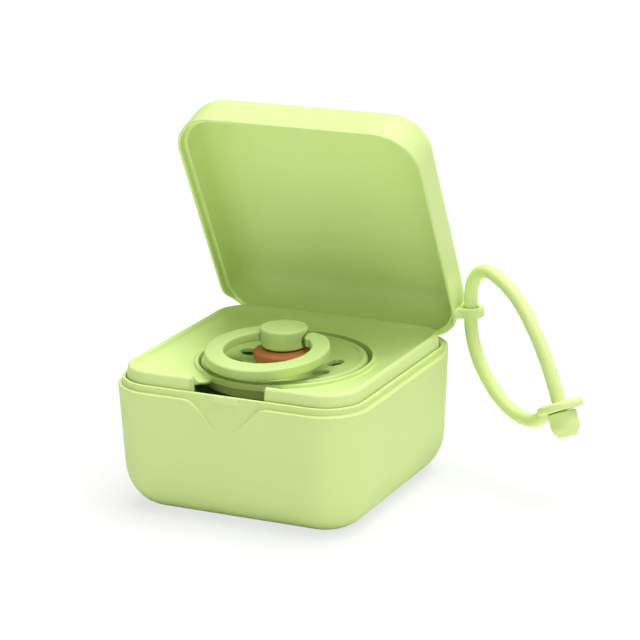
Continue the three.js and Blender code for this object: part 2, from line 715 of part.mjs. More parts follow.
// Assembly: the lid and its strap turn open about the hinge, the ring about its pivot in the knob
const root = new THREE.Group();
root.add(named('base_shell', baseShell(), shellGreen));
root.add(named('tray_insert', trayInsert(), trayGreen));
root.add(named('hinge_pin', rodX(pinRadius, -pinHalfLength, pinHalfLength, hingeY, hingeZ), pinSteel));
root.add(named('pacifier_shield', pacifierShield(), shieldGreen));
root.add(named('pacifier_nipple', pacifierNipple(), latexBrown));
root.add(named('nipple_plug', nipplePlug(), shieldGreen));
root.add(named('pacifier_knob', pacifierKnob(), shieldGreen));

const ringPivot = new THREE.Group();
ringPivot.position.set(0, pivotY, pivotZ);
ringPivot.rotation.x = THREE.MathUtils.degToRad(ringTilt);
ringPivot.add(named('pacifier_ring', pacifierRing(), shieldGreen));
root.add(ringPivot);

const lidHinge = new THREE.Group();
lidHinge.position.set(0, hingeY, hingeZ);
lidHinge.rotation.x = -openTurn;
const lid = named('lid_shell', lidShell(), shellGreen);
lid.position.set(0, -hingeY, -hingeZ);
lidHinge.add(lid);
root.add(lidHinge);

const strap = new THREE.Group();
const earPlace = new THREE.Vector3(earX, -earFromHinge, earAboveHinge);
earPlace.applyAxisAngle(new THREE.Vector3(1, 0, 0), -openTurn);
strap.position.set(earPlace.x, hingeY + earPlace.y, hingeZ + earPlace.z);
strap.rotation.z = THREE.MathUtils.degToRad(strapHeading);
strap.add(named('strap_loop', strapLoop(), strapGreen));
strap.add(named('strap_eyelet', strapEyelet(), strapGreen));
strap.add(named('strap_button', strapButton(), strapGreen));
root.add(strap);

export default root;
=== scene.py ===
import math

import bmesh
import bpy
from mathutils import Matrix, Vector


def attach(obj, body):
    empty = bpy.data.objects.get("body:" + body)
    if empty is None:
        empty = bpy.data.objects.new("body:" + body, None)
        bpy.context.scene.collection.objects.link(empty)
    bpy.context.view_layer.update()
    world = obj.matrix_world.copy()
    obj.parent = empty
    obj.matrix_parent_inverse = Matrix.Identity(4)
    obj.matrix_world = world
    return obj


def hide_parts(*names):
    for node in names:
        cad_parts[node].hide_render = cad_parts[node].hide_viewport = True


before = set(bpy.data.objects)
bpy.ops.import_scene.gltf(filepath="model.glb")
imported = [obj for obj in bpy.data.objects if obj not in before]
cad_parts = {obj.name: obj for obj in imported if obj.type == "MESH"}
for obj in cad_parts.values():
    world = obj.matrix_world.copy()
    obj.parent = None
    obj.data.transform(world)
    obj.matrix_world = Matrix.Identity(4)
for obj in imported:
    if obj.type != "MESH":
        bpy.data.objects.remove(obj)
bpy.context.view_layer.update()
mm = 0.001

# Camera. A long lens a little above the case, from its front right, as in the product photograph.
camera_turn, camera_height, camera_roll = math.radians(25.88), math.radians(16.87), math.radians(-0.985)
camera_reach, camera_aside, camera_rise = 772.0, 10.17, 47.8
away = Vector((math.sin(camera_turn) * math.cos(camera_height),
               -math.cos(camera_turn) * math.cos(camera_height), math.sin(camera_height)))
across = Vector((math.cos(camera_turn), math.sin(camera_turn), 0))
upward = away.cross(across)
level_x = across * math.cos(camera_roll) + upward * math.sin(camera_roll)
level_y = upward * math.cos(camera_roll) - across * math.sin(camera_roll)
stand = (away * camera_reach + across * camera_aside + upward * camera_rise) * mm
camera = bpy.data.objects.new("camera", bpy.data.cameras.new("camera"))
camera.data.sensor_width = 36
camera.data.lens = 147.8
camera.data.clip_start, camera.data.clip_end = 0.01, 20
camera.matrix_world = Matrix.Translation(stand) @ Matrix((level_x, level_y, away)).transposed().to_4x4()
bpy.context.scene.collection.objects.link(camera)
bpy.context.scene.camera = camera


# Strap. One soft silicone moulding: a round cord through the ear, a flat eyelet at one end and a dome-ended
# button at the other, which is pushed through the eyelet. It stands in the loop it was moulded in, a little
# sagged.
strap_green = (0.70, 0.85, 0.34, 1)
cord_thickness = 4.0 * mm
ear_hole = Vector((41.9, 38.9968, 46.7983)) * mm
strap_turn = Matrix.Rotation(math.radians(-30), 4, "Z")
strap_route = [
    (40.8, -17.1), (38.6, -12.6), (34.1, -4.8), (28.2, 2.8), (24.6, 6.5), (20.0, 9.9), (13.7, 12.8),
    (8.2, 13.9), (4.0, 12.6), (1.0, 9.2), (0.0, 4.6), (0.0, 0.0), (0.0, -4.2), (1.0, -8.6), (2.9, -12.7),
    (5.6, -16.5), (9.5, -20.2), (14.0, -23.3), (20.6, -25.9), (27.2, -26.4), (31.4, -25.3), (34.0, -23.4),
]
eyelet_tilt = math.radians(25.5)
eyelet_radius, eyelet_thickness, eyelet_hole = 6.75 * mm, 2.5 * mm, 2.05 * mm
button_radius, button_length, button_neck = 4.2 * mm, 7.4 * mm, 1.7 * mm
button_gap, cord_sink, neck_stop = 0.3, 0.7, 4.3 * mm


def moulded_finish(name, colour, roughness, grain, grain_depth, mottle, soft=0.0):
    """A moulded plastic or rubber: its colour drifts slightly, and a fine matt grain breaks the shine."""
    material = bpy.data.materials.new(name)
    material.use_nodes = True
    nodes, links = material.node_tree.nodes, material.node_tree.links
    shader = nodes["Principled BSDF"]
    place = nodes.new("ShaderNodeTexCoord")
    drift = nodes.new("ShaderNodeTexNoise")
    drift.inputs["Scale"].default_value = 38
    drift.inputs["Detail"].default_value = 3
    shade = nodes.new("ShaderNodeValToRGB")
    shade.color_ramp.elements[0].position, shade.color_ramp.elements[1].position = 0.35, 0.65
    shade.color_ramp.elements[0].color = [c * (1 - mottle) for c in colour[:3]] + [1]
    shade.color_ramp.elements[1].color = [min(c * (1 + mottle), 1) for c in colour[:3]] + [1]
    links.new(place.outputs["Object"], drift.inputs["Vector"])
    links.new(drift.outputs["Fac"], shade.inputs["Fac"])
    links.new(shade.outputs["Color"], shader.inputs["Base Color"])
    fine = nodes.new("ShaderNodeTexNoise")
    fine.inputs["Scale"].default_value = 1 / grain
    fine.inputs["Detail"].default_value = 4
    fine.inputs["Roughness"].default_value = 0.6
    links.new(place.outputs["Object"], fine.inputs["Vector"])
    bump = nodes.new("ShaderNodeBump")
    bump.inputs["Strength"].default_value = 0.5
    bump.inputs["Distance"].default_value = grain_depth
    links.new(fine.outputs["Fac"], bump.inputs["Height"])
    links.new(bump.outputs["Normal"], shader.inputs["Normal"])
    sheen = nodes.new("ShaderNodeMapRange")
    sheen.inputs["To Min"].default_value = roughness - 0.06
    sheen.inputs["To Max"].default_value = roughness + 0.06
    links.new(fine.outputs["Fac"], sheen.inputs["Value"])
    links.new(sheen.outputs["Result"], shader.inputs["Roughness"])
    shader.inputs["Specular IOR Level"].default_value = 0.35
    if soft:
        shader.inputs["Subsurface Weight"].default_value = soft
        shader.inputs["Subsurface Radius"].default_value = (1.0, 0.9, 0.35)
        shader.inputs["Subsurface Scale"].default_value = 1.2 * mm
    return material


def finished_piece(bm, name, material, body, sharp=38, even=False):
    """The finished mesh as an object that rides on its body, smooth but for the edges left sharp."""
    mesh = bpy.data.meshes.new(name)
    for layer in list(bm.verts.layers.float_vector.values()):
        bm.verts.layers.float_vector.remove(layer)
    bm.to_mesh(mesh)
    bm.free()
    mesh.materials.clear()
    mesh.materials.append(material)
    mesh.shade_smooth()
    mesh.set_sharp_from_angle(angle=math.radians(sharp))
    piece = bpy.data.objects.new(name, mesh)
    bpy.context.scene.collection.objects.link(piece)
    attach(piece, body)
    if even:
        piece.modifiers.new("even_normals", "WEIGHTED_NORMAL").keep_sharp = True
    return piece


def rounded(section, steps=4):
    """A drawn section of (across, height, radius) points, each corner rounded to its radius."""
    drawn = []
    for i, (u, v, radius) in enumerate(section):
        corner = Vector((u, v))
        if not radius or i in (0, len(section) - 1):
            drawn.append(corner)
            continue
        before = (Vector(section[i - 1][:2]) - corner).normalized()
        after = (Vector(section[i + 1][:2]) - corner).normalized()
        half = before.angle(after) / 2
        centre = corner + (before + after).normalized() * (radius / math.sin(half))
        start, end = [corner + side * (radius / math.tan(half)) - centre for side in (before, after)]
        sweep = start.angle_signed(end)
        drawn += [centre + Matrix.Rotation(-sweep * k / steps, 2) @ start for k in range(steps + 1)]
    return drawn


def turned(bm, section, steps):
    """Spins a drawn section of (radius, height) points once round the upright axis."""
    points = [bm.verts.new((p.x, 0, p.y)) for p in section]
    chain = [bm.edges.new(pair) for pair in zip(points, points[1:])]
    bmesh.ops.spin(bm, geom=points + chain, cent=(0, 0, 0), axis=(0, 0, 1), angle=math.tau, steps=steps,
                   use_merge=True, use_duplicate=False)
    bmesh.ops.remove_doubles(bm, verts=bm.verts, dist=1e-7)
    bmesh.ops.recalc_face_normals(bm, faces=bm.faces)


def voxel_skin(bm, voxel, rounds):
    """One skin over overlapping forms, with the creases between them run together as in a single moulding."""
    mesh = bpy.data.meshes.new("skin")
    bm.to_mesh(mesh)
    bm.free()
    form = bpy.data.objects.new("skin", mesh)
    bpy.context.scene.collection.objects.link(form)
    remesh = form.modifiers.new("skin", "REMESH")
    remesh.mode, remesh.voxel_size = "VOXEL", voxel
    skin = bmesh.new()
    skin.from_object(form, bpy.context.evaluated_depsgraph_get())
    bpy.data.objects.remove(form)
    for _ in range(rounds):
        bmesh.ops.smooth_vert(skin, verts=skin.verts, factor=0.5,
                              use_axis_x=True, use_axis_y=True, use_axis_z=True)
    return skin


silicone = moulded_finish("strap_silicone", strap_green, 0.56, 0.25 * mm, 0.012 * mm, 0.015, soft=0.12)
strap_line = [ear_hole + strap_turn @ Vector((out * mm, 0, up * mm)) for out, up in strap_route]
button_axis = strap_turn @ Vector((math.sin(eyelet_tilt), 0, -math.cos(eyelet_tilt)))
onto_strap = (Matrix.Translation(strap_line[0] + button_axis * button_gap * mm)
              @ strap_turn @ Matrix.Rotation(-eyelet_tilt, 4, "Y"))

cord_curve = bpy.data.curves.new("silicone_cord", "CURVE")
cord_curve.dimensions = "3D"
cord_curve.bevel_depth = cord_thickness / 2
cord_curve.bevel_resolution = 8
cord_curve.resolution_u = 8
cord_curve.use_fill_caps = True
cord_run = cord_curve.splines.new("BEZIER")
cord_run.bezier_points.add(len(strap_line) - 1)
for knot, point in zip(cord_run.bezier_points, strap_line):
    knot.co = point
    knot.handle_left_type = knot.handle_right_type = "AUTO"
cord_run.bezier_points[0].co = strap_line[0] + button_axis * cord_sink * mm
silicone_cord = bpy.data.objects.new("silicone_cord", cord_curve)
bpy.context.scene.collection.objects.link(silicone_cord)
cord_curve.materials.append(silicone)
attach(silicone_cord, "strap")
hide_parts("strap_loop")

eyelet = bmesh.new()
turned(eyelet, rounded([
    (eyelet_hole, -eyelet_thickness, 0), (eyelet_radius, -eyelet_thickness, 1.0 * mm),
    (eyelet_radius, 0, 1.0 * mm), (eyelet_hole, 0, 0), (eyelet_hole, -eyelet_thickness, 0)]), 64)
eyelet.transform(onto_strap)
eyelet_middle = onto_strap @ Vector((0, 0, -eyelet_thickness / 2))
neck_run = eyelet_middle - strap_line[-1]
neck_length = neck_run.length - neck_stop
neck = bmesh.ops.create_cone(eyelet, cap_ends=True, segments=40, radius1=cord_thickness / 2,
                             radius2=cord_thickness / 2 * 1.1, depth=neck_length)["verts"]
neck_middle = strap_line[-1] + neck_run.normalized() * neck_length / 2
bmesh.ops.transform(eyelet, verts=neck, matrix=Matrix.Translation(neck_middle)
                    @ neck_run.to_track_quat("Z", "Y").to_matrix().to_4x4())
eyelet_piece = finished_piece(voxel_skin(eyelet, 0.2 * mm, 4), "eyelet", silicone, "strap", 60)
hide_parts("strap_eyelet")

button = bmesh.new()
button_head = -eyelet_thickness - button_gap * mm
button_tip = button_head - button_length
turned(button, rounded([
    (0, button_tip, 0), (button_radius * 0.62, button_tip + 0.1 * mm, 1.2 * mm),
    (button_radius, button_tip + 2.6 * mm, 2.4 * mm), (button_radius, button_head, 0.6 * mm),
    (button_neck, button_head, 0.3 * mm), (button_neck, 0, 0), (0, 0, 0)], 6), 64)
button.transform(onto_strap)
button_piece = finished_piece(button, "button", silicone, "strap")
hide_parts("strap_button")


# Base. One polypropylene tub with drafted walls and a broad round foot. Its band stands in from the wall so that
# the lid's skirt can lap it, a thumb scoop runs down from the band, and three hinge barrels stand out behind.
shell_green = (0.66, 0.82, 0.31, 1)
case_half = Vector((39.0, 39.1, 0)) * mm
case_corner, foot_corner = 13.2 * mm, 15.2 * mm
shoulder, band_top = 36.45 * mm, 38.45 * mm
wall_draft, band_inset = 1.15 * mm, 1.2 * mm
foot_run, foot_rise = 10.2 * mm, 12.8 * mm
wall_thickness, floor_thickness = 2.2 * mm, 2.2 * mm
ledge_end, ledge_climb = 29.3 * mm, 4.0 * mm
scoop_half, scoop_foot = 13.0 * mm, 28.25 * mm
edge_round = 0.4 * mm
scoop_shoulder_share, scoop_toe_share, scoop_columns = 0.585, 0.477, 14
hinge_y, hinge_z = 38.3 * mm, 36.0 * mm
barrel_radius, barrel_round, room_radius = 2.2 * mm, 0.25 * mm, 2.5 * mm
base_barrels = [(-22.6, -14.6), (-4.0, 4.0), (14.6, 22.6)]
lid_barrels = [(-14.3, -4.3), (4.3, 14.3)]
tray_rib = [(-36.9, 10.4), (-36.0, 10.4), (-33.6, 12.8), (-33.6, 31.25), (-36.9, 31.25)]
rib_place, rib_half = 11, 1
latch_width, latch_depth, latch_height = 7.6 * mm, 1.5 * mm, 1.9 * mm
latch_y, latch_z, latch_round, latch_slope, latch_lift = -37.8 * mm, 37.5 * mm, 0.35 * mm, 0.65, 0.3
quarter_turn = [math.pi / 2 * k / 9 for k in range(10)]


class Moulding:
    """A square-cornered moulding, drawn up ring by ring from one rounded plan of the case."""

    def __init__(self, front_cuts=0, side_cuts=0, capped=True):
        self.bm = bmesh.new()
        bmesh.ops.create_grid(self.bm, x_segments=1, y_segments=1, size=1)
        bmesh.ops.scale(self.bm, vec=(case_half.x, case_half.y, 1), verts=self.bm.verts)
        bmesh.ops.bevel(self.bm, geom=self.bm.verts[:], offset=case_corner, segments=16, profile=0.5,
                        affect="VERTICES", material=-1)
        straight = [e for e in self.bm.edges if e.calc_length() > case_corner]
        front = [e for e in straight if max(v.co.y for v in e.verts) < 0]
        rest = [e for e in straight if e not in front]
        if front_cuts:
            bmesh.ops.subdivide_edges(self.bm, edges=front, cuts=front_cuts)
        if side_cuts:
            bmesh.ops.subdivide_edges(self.bm, edges=rest, cuts=side_cuts)
        self.plan = self.bm.verts.layers.float_vector.new("plan")
        self.out = self.bm.verts.layers.float_vector.new("out")
        self.quarter = self.bm.verts.layers.float_vector.new("quarter")
        self.rim = self.bm.edges[:]
        self.capped = capped
        if not capped:
            bmesh.ops.delete(self.bm, geom=self.bm.faces[:], context="FACES_ONLY")

    def mark(self):
        """Keeps each column's place on the plan, and the way out of the case from there."""
        core = case_half - Vector((case_corner, case_corner, 0))
        for v in self.bm.verts:
            near = Vector([max(-c, min(c, p)) for c, p in zip(core, v.co)])
            v[self.plan], v[self.out] = v.co, (v.co - near).normalized()
            at_corner = all(abs(p) > c - 1e-6 for c, p in zip(core.xy, v.co.xy))
            diagonal = Vector([math.copysign(1, p) for p in v.co.xy] + [0])
            v[self.quarter] = diagonal if at_corner else v[self.out]

    def inside(self, v, inset, height, corner=case_corner):
        point = v[self.plan] - v[self.out] * inset + (v[self.quarter] - v[self.out]) * (case_corner - corner)
        return Vector((point.x, point.y, height))

    def ring(self, place, first=False):
        """Draws the rim out into one more ring of wall, each of its points set by place."""
        if first:
            points = self.bm.verts[:]
        else:
            made = bmesh.ops.extrude_edge_only(self.bm, edges=self.rim)["geom"]
            points = [g for g in made if isinstance(g, bmesh.types.BMVert)]
            fresh = set(points)
            self.rim = [g for g in made if isinstance(g, bmesh.types.BMEdge) and fresh.issuperset(g.verts)]
        for v in points:
            v.co = place(v)

    def close(self):
        if self.capped:
            bmesh.ops.edgeloop_fill(self.bm, edges=self.rim)
        else:
            bmesh.ops.bridge_loops(self.bm, edges=[e for e in self.bm.edges if e.is_boundary])
        bmesh.ops.recalc_face_normals(self.bm, faces=self.bm.faces)
        return self.bm


def cut_away(bm, cutters):
    """Cuts closed forms out of a moulding."""
    solids = []
    for part in (bm, cutters):
        mesh = bpy.data.meshes.new("cut")
        part.to_mesh(mesh)
        part.free()
        solids.append(bpy.data.objects.new("cut", mesh))
        bpy.context.scene.collection.objects.link(solids[-1])
    cut = solids[0].modifiers.new("cut", "BOOLEAN")
    cut.operation, cut.solver, cut.object = "DIFFERENCE", "EXACT", solids[1]
    result = bmesh.new()
    result.from_object(solids[0], bpy.context.evaluated_depsgraph_get())
    for solid in solids:
        bpy.data.objects.remove(solid)
    return result


def once_each(items):
    """The edges or faces met, each once and always in the same order."""
    return list(dict.fromkeys(items))


def rod_along_x(bm, radius, start, end, y, z, segments=40, soft=0.0):
    rod = bmesh.ops.create_cone(bm, cap_ends=True, segments=segments, radius1=radius, radius2=radius,
                                depth=end - start)["verts"]
    bmesh.ops.transform(bm, verts=rod, matrix=Matrix.Translation(((start + end) / 2, y, z))
                        @ Matrix.Rotation(math.pi / 2, 4, "Y"))
    if soft:
        ends = once_each(e for v in rod for e in v.link_edges
                         if abs(e.verts[0].co.x - e.verts[1].co.x) < 1e-9)
        bmesh.ops.bevel(bm, geom=ends, offset=soft, segments=3, profile=0.5, affect="EDGES", material=-1)


def slab_along_x(bm, outline, start, end):
    """A drawn outline of (depth, height) points, run from start to end across the case."""
    face = bm.faces.new([bm.verts.new((start, y, z)) for y, z in outline])
    run = bmesh.ops.extrude_face_region(bm, geom=[face])["geom"]
    verts = [g for g in run if isinstance(g, bmesh.types.BMVert)]
    bmesh.ops.translate(bm, vec=(end - start, 0, 0), verts=verts)
    whole = once_each(f for v in [*face.verts, *verts] for f in v.link_faces)
    bmesh.ops.recalc_face_normals(bm, faces=whole)


def wall_inset(height):
    return wall_draft * (shoulder - min(height, shoulder)) / shoulder


def plan_corner(height):
    return foot_corner + (case_corner - foot_corner) * min(height / shoulder, 1)


def bezier(t, a, b, c, d):
    return a * (1 - t) ** 3 + 3 * b * t * (1 - t) ** 2 + 3 * c * t * t * (1 - t) + d * t ** 3


def scoop_x(t):
    return bezier(t, scoop_half, scoop_half * scoop_shoulder_share, scoop_half * scoop_toe_share, 0)


def scoop_edge(x):
    """Height of the scoop's outline at a place across the front."""
    low, high = 0.0, 1.0
    for _ in range(40):
        middle = (low + high) / 2
        low, high = (middle, high) if scoop_x(middle) > abs(x) else (low, middle)
    return bezier(low, shoulder, shoulder, scoop_foot, scoop_foot)


def recess_inset(height):
    """How far the scoop's face lies inside the case's outline at a height."""
    share = min(max((height - scoop_foot) / (shoulder - scoop_foot), 0), 1)
    return wall_inset(scoop_foot) + (band_inset - wall_inset(scoop_foot)) * share


def in_scoop(v, mould):
    at = v[mould.plan]
    return at.y < 0 and abs(at.x) < scoop_half - 0.01 * mm


def climb(y, end=ledge_end):
    """From 0 to 1 where the ledge under the lid's skirt climbs to the band's top, towards the hinge."""
    return min(max((y - end) / ledge_climb, 0), 1)


def shoulder_ring(mould, turn):
    """One ring of the round edge where the wall ends, along the ledge and round the scoop."""
    def place(v):
        if in_scoop(v, mould):
            edge = scoop_edge(v[mould.plan].x)
            depth = recess_inset(edge) - wall_inset(edge)
        else:
            edge = shoulder + (band_top - shoulder) * climb(v[mould.plan].y)
            depth = band_inset
        soft = min(edge_round, 0.45 * depth)
        return mould.inside(v, wall_inset(edge) + soft * (1 - math.cos(turn)),
                            edge - soft * (1 - math.sin(turn)))
    return place


def band_ring(mould, inset, rise, rear_inset, on_recess=None):
    """One ring of the ledge and the band, which close up into a flat rim where the ledge has climbed."""
    def place(v):
        if on_recess is not None and in_scoop(v, mould):
            edge = scoop_edge(v[mould.plan].x)
            depth = recess_inset(edge) - wall_inset(edge)
            up = on_recess * min(0.3 * mm, 0.4 * depth + 0.02 * mm)
            return mould.inside(v, recess_inset(edge + up) - (1 - on_recess) * 0.1 * depth, edge + up)
        share = climb(v[mould.plan].y)
        foot = shoulder + (band_top - shoulder) * share
        return mould.inside(v, inset + (rear_inset - inset) * share, foot + rise * (1 - share))
    return place


base = Moulding(front_cuts=2 * scoop_columns + 1)
front_row = sorted((v for v in base.bm.verts if v.co.y < -case_half.y + 1e-6), key=lambda v: v.co.x)[1:-1]
column_x = [scoop_x(k / scoop_columns) for k in range(scoop_columns + 1)]
for v, x in zip(front_row, [-x for x in column_x] + column_x[-2::-1]):
    v.co.x = x
base.mark()
foot_inset = wall_inset(foot_rise)
for k, turn in enumerate(quarter_turn):
    height = foot_rise * (1 - math.cos(turn))
    inset = foot_inset + foot_run * (1 - math.sin(turn))
    base.ring(lambda v: base.inside(v, inset, height, plan_corner(height)), first=k == 0)
for height in (14.5 * mm, 20 * mm, 26 * mm):
    base.ring(lambda v: base.inside(v, wall_inset(height), height, plan_corner(height)))
for turn in (0, math.pi / 6, math.pi / 3, math.pi / 2):
    base.ring(shoulder_ring(base, turn))
for inset, rise, rear_inset, on_recess in (
        (1.0, 0, 0.6, 0), (1.2, 0.2, 0.8, 1), (1.2, 0.45, 1.0, None), (1.2, 1.6, 1.2, None),
        (1.24, 1.83, 1.3, None), (1.34, 1.95, 1.4, None), (1.5, 2.0, 1.5, None)):
    base.ring(band_ring(base, inset * mm, rise * mm, rear_inset * mm, on_recess))
for inset, height in ((2.0, 38.45), (2.2, 38.36), (2.3, 38.15), (2.25, 36.4), (2.2, 34.45)):
    base.ring(lambda v: base.inside(v, inset * mm, height * mm))
for turn in reversed(quarter_turn):
    height = floor_thickness + (foot_rise - floor_thickness) * (1 - math.cos(turn))
    inset = foot_inset + wall_thickness + (foot_run - wall_thickness) * (1 - math.sin(turn))
    base.ring(lambda v: base.inside(v, inset, height, plan_corner(height)))
base_form = base.close()

barrel_rooms = bmesh.new()
for start, end in lid_barrels:
    slab_along_x(barrel_rooms, [
        (hinge_y + room_radius * math.sin(a), hinge_z - room_radius * math.cos(a))
        for a in [math.pi * (k / 20 - 0.5) for k in range(21)]
    ] + [(hinge_y + room_radius, band_top + 2 * mm), (hinge_y - room_radius, band_top + 2 * mm)],
        (start - 0.3) * mm, (end + 0.3) * mm)
base_form = cut_away(base_form, barrel_rooms)
for start, end in base_barrels:
    rod_along_x(base_form, barrel_radius, start * mm, end * mm, hinge_y, hinge_z, soft=barrel_round)
    slab_along_x(base_form, [(38.3 * mm, 36.0 * mm), (38.3 * mm, 32.1 * mm), (39.08 * mm, 33.66 * mm),
                             (39.86 * mm, 34.44 * mm)], (start + 0.2) * mm, (end - 0.2) * mm)
for quarter in range(4):
    for side in (-1, 1):
        known = set(base_form.verts)
        slab_along_x(base_form, [(y * mm, z * mm) for y, z in tray_rib],
                     (side * rib_place - rib_half) * mm, (side * rib_place + rib_half) * mm)
        bmesh.ops.rotate(base_form, cent=(0, 0, 0), matrix=Matrix.Rotation(quarter * math.pi / 2, 3, "Z"),
                         verts=[v for v in base_form.verts if v not in known])

latch = bmesh.ops.create_cube(base_form, size=1)["verts"]
bmesh.ops.scale(base_form, vec=(latch_width, latch_depth, latch_height), verts=latch)
for v in latch:
    if v.co.y < 0:
        v.co += Vector((0, latch_slope, 0) if v.co.z > 0 else (0, 0, latch_lift)) * mm
bmesh.ops.translate(base_form, vec=(0, latch_y, latch_z), verts=latch)
bmesh.ops.bevel(base_form, geom=once_each(e for v in latch for e in v.link_edges), offset=latch_round,
                segments=4, profile=0.5, affect="EDGES", material=-1)

shell_plastic = moulded_finish("shell_plastic", shell_green, 0.55, 0.35 * mm, 0.01 * mm, 0.012)
base_piece = finished_piece(base_form, "base", shell_plastic, "base", even=True)
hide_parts("base_shell")


# Tray. A thinner polypropylene moulding set in the band: a rim wall, a dished deck that runs from square to
# round, a proud ring round the well that takes the pacifier's shield, and a finger slot cut through rim and
# deck in front.
tray_green = (0.68, 0.84, 0.33, 1)
rim_outer, rim_inner, rim_top = 2.9 * mm, 4.9 * mm, 41.95 * mm
rim_round, lip_round, dish_run = 1.0 * mm, 0.8 * mm, 3.0 * mm
deck_radius, ring_outer, well_stretch = 27.0 * mm, 26.1 * mm, 1.04
tray_foot = 31.55 * mm
slot_half, slot_floor, slot_reach = 11.2 * mm, 35.85 * mm, 34.2 * mm
tray_columns = 24

tray = Moulding(front_cuts=tray_columns, side_cuts=tray_columns, capped=False)
tray.mark()


def tray_level(inset, height):
    return lambda v: tray.inside(v, inset, height)


def tray_circle(radius, height):
    def place(v):
        way = tray.inside(v, rim_inner, 0).normalized()
        return Vector((way.x * radius, way.y * radius * well_stretch, height))
    return place


def tray_deck(share, height):
    """A ring of the deck, at a share of the way from the foot of its square slope to the round well."""
    def place(v):
        return tray.inside(v, rim_inner + dish_run, height).lerp(tray_circle(deck_radius, height)(v), share)
    return place


tray.ring(tray_level(2.6 * mm, tray_foot), first=True)
tray.ring(tray_level(2.6 * mm, 38.3 * mm))
tray.ring(tray_level(2.62 * mm, 38.6 * mm))
for turn in [math.pi / 2 * k / 6 for k in range(7)]:
    tray.ring(tray_level(rim_outer + rim_round * (1 - math.cos(turn)),
                         rim_top - rim_round * (1 - math.sin(turn))))
for turn in [math.pi / 2 * (1 - k / 6) for k in range(5)]:
    tray.ring(tray_level(rim_inner - lip_round * (1 - math.cos(turn)),
                         rim_top - lip_round * (1 - math.sin(turn))))
for run, height in ((0.25, 40.95), (0.7, 40.6), (1.2, 40.3), (1.8, 40.0), (2.4, 39.74), (3.0, 39.5)):
    tray.ring(tray_level(rim_inner + run * mm, height * mm))
for share, height in ((0.2, 39.24), (0.45, 38.92), (0.7, 38.56), (0.92, 38.26)):
    tray.ring(tray_deck(share, height * mm))
well_section = rounded([(27.0, 38.16, 0), (26.1, 38.12, 0.12), (26.1, 39.15, 0.3), (25.0, 39.15, 0.25),
                        (25.0, 35.2, 1.8), (14.0, 35.2, 0.25), (14.0, 33.7, 0.25), (23.0, 33.7, 0.6),
                        (24.3, 34.1, 0.6), (25.3, 36.3, 0.3), (26.1, 37.3, 0)], 5)
for point in well_section:
    tray.ring(tray_circle(point.x * mm, point.y * mm))
for share, height in ((0.9, 37.2), (0.5, 37.7), (0.1, 38.4)):
    tray.ring(tray_deck(share, height * mm))
for run, height in ((2.6, 38.6), (1.8, 38.8), (1.0, 39.0), (0.3, 39.25), (-0.3, 39.5), (-0.6, 39.3)):
    tray.ring(tray_level(rim_inner + run * mm, height * mm))
tray.ring(tray_level(rim_inner - 0.7 * mm, tray_foot))
tray_form = tray.close()


def upright_slab(bm, outline, low, high):
    """A drawn outline of points on the level, run up from low to high."""
    face = bm.faces.new([bm.verts.new((x, y, low)) for x, y in outline])
    run = bmesh.ops.extrude_face_region(bm, geom=[face])["geom"]
    raised = [g for g in run if isinstance(g, bmesh.types.BMVert)]
    bmesh.ops.translate(bm, vec=(0, 0, high - low), verts=raised)
    bmesh.ops.recalc_face_normals(bm, faces=bm.faces)


slot_sweep = math.asin(slot_half / ring_outer)
slot_arc = [(ring_outer * math.sin(a), -ring_outer * math.cos(a) * well_stretch)
            for a in [slot_sweep * (k / 12 - 1) for k in range(25)]]
# under the slot's sill the cut stops behind the rim wall, and above the sill it runs out through the wall
for front, low, high in ((-slot_reach, 33 * mm, slot_floor + 0.1 * mm), (-45 * mm, slot_floor, 46 * mm)):
    slot = bmesh.new()
    upright_slab(slot, [*slot_arc, (slot_half, front), (-slot_half, front)], low, high)
    tray_form = cut_away(tray_form, slot)
hinge_room = bmesh.new()
rod_along_x(hinge_room, room_radius, -22.9 * mm, 22.9 * mm, hinge_y, hinge_z)
tray_form = cut_away(tray_form, hinge_room)
slot_edges = [e for e in tray_form.edges if all(abs(abs(v.co.x) - slot_half) < 1e-6 and v.co.y < -26 * mm
                                                 and v.co.z > slot_floor + 1e-6 for v in e.verts)
              and len(e.link_faces) == 2 and e.calc_face_angle() > 0.5]
bmesh.ops.bevel(tray_form, geom=slot_edges, offset=0.5 * mm, segments=4, profile=0.5, affect="EDGES",
                material=-1)

tray_plastic = moulded_finish("tray_plastic", tray_green, 0.52, 0.3 * mm, 0.008 * mm, 0.012)
tray_piece = finished_piece(tray_form, "tray", tray_plastic, "base", even=True)
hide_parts("tray_insert")


# Lid. A deep pillow-topped moulding of the same plastic, drawn shut and then turned open. Its stepped rim has a
# thin skirt outside that laps the base's band and is cut away towards the hinge. Two barrels hang behind it, and
# the strap's ear stands out at its side, with its root cut back where the band comes when the lid is shut.
lid_open = 64
lid_seat, lid_top, lid_inside = 38.75 * mm, 52.35 * mm, 50.35 * mm
lid_fillet, lid_hollow_fillet, lid_wall = 8.0 * mm, 6.0 * mm, 2.3 * mm
lid_lean, lid_height = 1.15 * mm, 15.9 * mm
skirt_foot, skirt_end = 36.75 * mm, 29.6 * mm
lid_foot_height = lid_top - lid_fillet
lid_draft = lid_lean * (lid_foot_height - shoulder) / lid_height
ear_radius, ear_thickness, ear_hole_radius = 3.9, 3, 2.3
ear_root = [(-1.5, 4.0), (-2.3, 4.3), (-2.9, 4.8), (-5.0, 4.8)]
ear_cut_back = [(-5.0, -1.9), (-4.0, -2.4), (-4.0, -4.8)]

lid = Moulding()
lid.mark()


def skirt_ring(inset, rise, rear_inset, inner):
    """One ring of the skirt, whose foot climbs to the seat towards the hinge."""
    def place(v):
        share = climb(v[lid.plan].y, skirt_end)
        height = skirt_foot + (lid_seat - skirt_foot) * share + rise
        return lid.inside(v, inset + (rear_inset - inset) * share, min(height, lid_seat) if inner else height)
    return place


